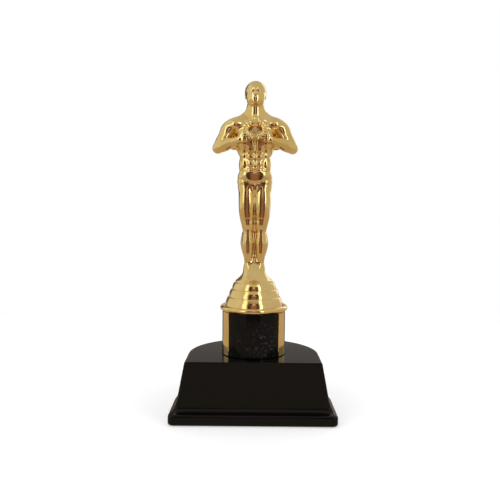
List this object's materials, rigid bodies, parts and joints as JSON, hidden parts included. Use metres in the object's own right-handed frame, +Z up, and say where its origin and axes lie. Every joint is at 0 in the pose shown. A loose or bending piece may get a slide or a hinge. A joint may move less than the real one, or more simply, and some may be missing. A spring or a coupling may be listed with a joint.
{
  "type": "figure trophy",
  "caption": "Award trophy: a gilt standing figure holding a laurel wreath, on a ringed plinth, a round black column with gilt strips and a hollow black base, flat in front and round behind.",
  "frame": {"origin": "on the table, under the middle of the base's plan", "axes": "+Z up, -Y to the front that the figure faces, +X to the right as seen from the front"},
  "size_m": [0.1, 0.081, 0.2097],
  "materials": {
    "gloss_black": "high gloss",
    "black_marble": "gloss foil with a faint marble figure",
    "gilt": "metallised, bright gold",
    "steel": "zinc plated"
  },
  "bodies": {
    "base": {"base_shell": "gloss_black", "clamp_washer": "steel"},
    "column": {"column_tube": "black_marble", "strip_left": "gilt", "strip_right": "gilt", "strip_rear": "gilt", "column_cap": "gilt"},
    "figure": {"figure_front": "gilt", "figure_back": "gilt", "figure_plinth": "gilt", "figure_nut": "steel", "tie_rod": "steel", "clamp_nut": "steel"}
  },
  "joints": [
    {"name": "column_swivel", "type": "hinge", "parent": "base", "child": "column", "pos_m": [0, -0.008, 0.0363], "axis": [0, 0, 1], "continuous": true},
    {"name": "figure_swivel", "type": "hinge", "parent": "column", "child": "figure", "pos_m": [0, -0.008, 0.0658], "axis": [0, 0, 1], "continuous": true}
  ]
}
